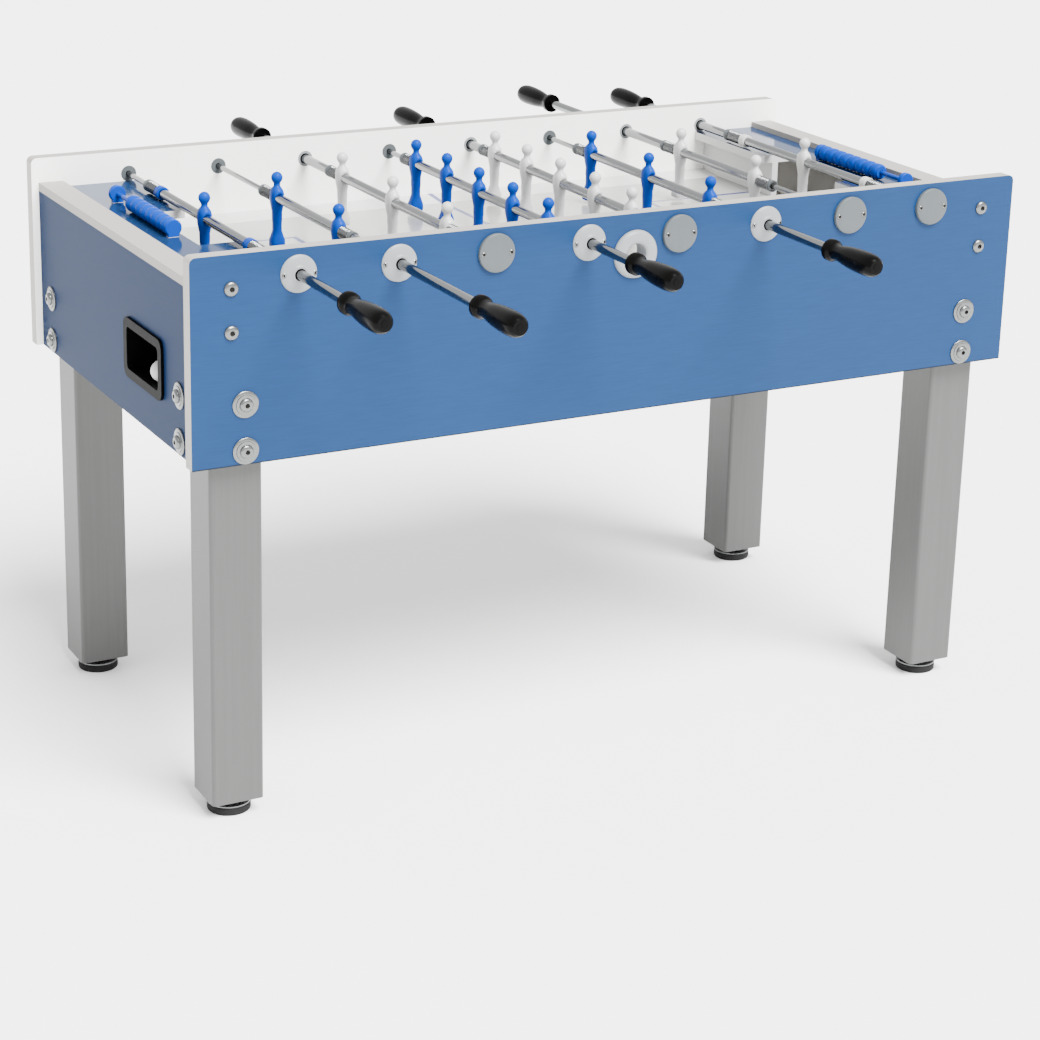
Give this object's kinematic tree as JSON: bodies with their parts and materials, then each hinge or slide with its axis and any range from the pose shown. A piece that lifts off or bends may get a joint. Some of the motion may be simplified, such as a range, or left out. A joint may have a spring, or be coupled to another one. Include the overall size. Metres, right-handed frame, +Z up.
{
  "type": "foosball table",
  "caption": "Foosball table with sliding and turning player rods, a blue laminated cabinet and square metal legs.",
  "frame": {"origin": "on the floor under the middle of the table", "axes": "+Z up, X along the table, Y across it, near team's handles at -Y"},
  "size_m": [1.5, 1.544, 0.926],
  "materials": {
    "laminate": "satin",
    "deck": "gloss",
    "field": "gloss",
    "tray": "matte",
    "flange": "gloss",
    "cap": "satin",
    "leg": "satin",
    "foot": "matte",
    "guide": "polished",
    "grip": "gloss",
    "counter": "gloss",
    "near_team": "gloss",
    "far_team": "gloss"
  },
  "bodies": {
    "table": {"side_panel_near": "laminate", "side_panel_far": "laminate", "end_panel_left": "laminate", "end_deck_left": "deck", "ball_return_left": "tray", "end_panel_right": "laminate", "end_deck_right": "deck", "ball_return_right": "tray", "playfield": "field", "ball_entry_ring": "flange", "leg_near_left": "leg", "foot_near_left": "foot", "leg_near_right": "leg", "foot_near_right": "foot", "leg_far_left": "leg", "foot_far_left": "foot", "leg_far_right": "leg", "foot_far_right": "foot", "bearing_near_goalkeeper": "flange", "blind_cap_near_goalkeeper": "cap", "bearing_near_defence": "flange", "blind_cap_near_defence": "cap", "bearing_far_attack": "flange", "blind_cap_far_attack": "cap", "bearing_near_midfield": "flange", "blind_cap_near_midfield": "cap", "bearing_far_midfield": "flange", "blind_cap_far_midfield": "cap", "bearing_near_attack": "flange", "blind_cap_near_attack": "cap", "bearing_far_defence": "flange", "blind_cap_far_defence": "cap", "bearing_far_goalkeeper": "flange", "blind_cap_far_goalkeeper": "cap"},
    "guide_near_goalkeeper": {"guide_near_goalkeeper": "guide"},
    "rod_near_goalkeeper": {"rod_near_goalkeeper": "near_team", "handle_near_goalkeeper": "grip"},
    "guide_near_defence": {"guide_near_defence": "guide"},
    "rod_near_defence": {"rod_near_defence": "near_team", "handle_near_defence": "grip"},
    "guide_far_attack": {"guide_far_attack": "guide"},
    "rod_far_attack": {"rod_far_attack": "far_team", "handle_far_attack": "grip"},
    "guide_near_midfield": {"guide_near_midfield": "guide"},
    "rod_near_midfield": {"rod_near_midfield": "near_team", "handle_near_midfield": "grip"},
    "guide_far_midfield": {"guide_far_midfield": "guide"},
    "rod_far_midfield": {"rod_far_midfield": "far_team", "handle_far_midfield": "grip"},
    "guide_near_attack": {"guide_near_attack": "guide"},
    "rod_near_attack": {"rod_near_attack": "near_team", "handle_near_attack": "grip"},
    "guide_far_defence": {"guide_far_defence": "guide"},
    "rod_far_defence": {"rod_far_defence": "far_team", "handle_far_defence": "grip"},
    "guide_far_goalkeeper": {"guide_far_goalkeeper": "guide"},
    "rod_far_goalkeeper": {"rod_far_goalkeeper": "far_team", "handle_far_goalkeeper": "grip"},
    "counters_left": {"score_counters_left": "counter"},
    "counters_right": {"score_counters_right": "counter"}
  },
  "joints": [
    {"name": "near_goalkeeper_turn", "type": "hinge", "parent": "table", "child": "guide_near_goalkeeper", "pos_m": [-0.5775, 0, 0.8825], "axis": [0, 1, 0], "range_deg": [-235, 50]},
    {"name": "near_goalkeeper_slide", "type": "slide", "parent": "guide_near_goalkeeper", "child": "rod_near_goalkeeper", "axis": [0, 1, 0], "range_m": [-0.095, 0.095]},
    {"name": "near_defence_turn", "type": "hinge", "parent": "table", "child": "guide_near_defence", "pos_m": [-0.4125, 0, 0.8825], "axis": [0, 1, 0], "continuous": true},
    {"name": "near_defence_slide", "type": "slide", "parent": "guide_near_defence", "child": "rod_near_defence", "axis": [0, 1, 0], "range_m": [-0.137, 0.201]},
    {"name": "far_attack_turn", "type": "hinge", "parent": "table", "child": "guide_far_attack", "pos_m": [-0.2475, 0, 0.8825], "axis": [0, 1, 0], "continuous": true},
    {"name": "far_attack_slide", "type": "slide", "parent": "guide_far_attack", "child": "rod_far_attack", "axis": [0, 1, 0], "range_m": [-0.088, 0.104]},
    {"name": "near_midfield_turn", "type": "hinge", "parent": "table", "child": "guide_near_midfield", "pos_m": [-0.0825, 0, 0.8825], "axis": [0, 1, 0], "continuous": true},
    {"name": "near_midfield_slide", "type": "slide", "parent": "guide_near_midfield", "child": "rod_near_midfield", "axis": [0, 1, 0], "range_m": [-0.06, 0.06]},
    {"name": "far_midfield_turn", "type": "hinge", "parent": "table", "child": "guide_far_midfield", "pos_m": [0.0825, 0, 0.8825], "axis": [0, 1, 0], "continuous": true},
    {"name": "far_midfield_slide", "type": "slide", "parent": "guide_far_midfield", "child": "rod_far_midfield", "axis": [0, 1, 0], "range_m": [-0.075, 0.045]},
    {"name": "near_attack_turn", "type": "hinge", "parent": "table", "child": "guide_near_attack", "pos_m": [0.2475, 0, 0.8825], "axis": [0, 1, 0], "continuous": true},
    {"name": "near_attack_slide", "type": "slide", "parent": "guide_near_attack", "child": "rod_near_attack", "axis": [0, 1, 0], "range_m": [-0.091, 0.101]},
    {"name": "far_defence_turn", "type": "hinge", "parent": "table", "child": "guide_far_defence", "pos_m": [0.4125, 0, 0.8825], "axis": [0, 1, 0], "continuous": true},
    {"name": "far_defence_slide", "type": "slide", "parent": "guide_far_defence", "child": "rod_far_defence", "axis": [0, 1, 0], "range_m": [-0.201, 0.137]},
    {"name": "far_goalkeeper_turn", "type": "hinge", "parent": "table", "child": "guide_far_goalkeeper", "pos_m": [0.5775, 0, 0.8825], "axis": [0, 1, 0], "range_deg": [-50, 235]},
    {"name": "far_goalkeeper_slide", "type": "slide", "parent": "guide_far_goalkeeper", "child": "rod_far_goalkeeper", "axis": [0, 1, 0], "range_m": [-0.095, 0.095]},
    {"name": "counters_left_slide", "type": "slide", "parent": "table", "child": "counters_left", "axis": [0, 1, 0], "range_m": [0, 0.064]},
    {"name": "counters_right_slide", "type": "slide", "parent": "table", "child": "counters_right", "axis": [0, 1, 0], "range_m": [-0.064, 0]}
  ]
}
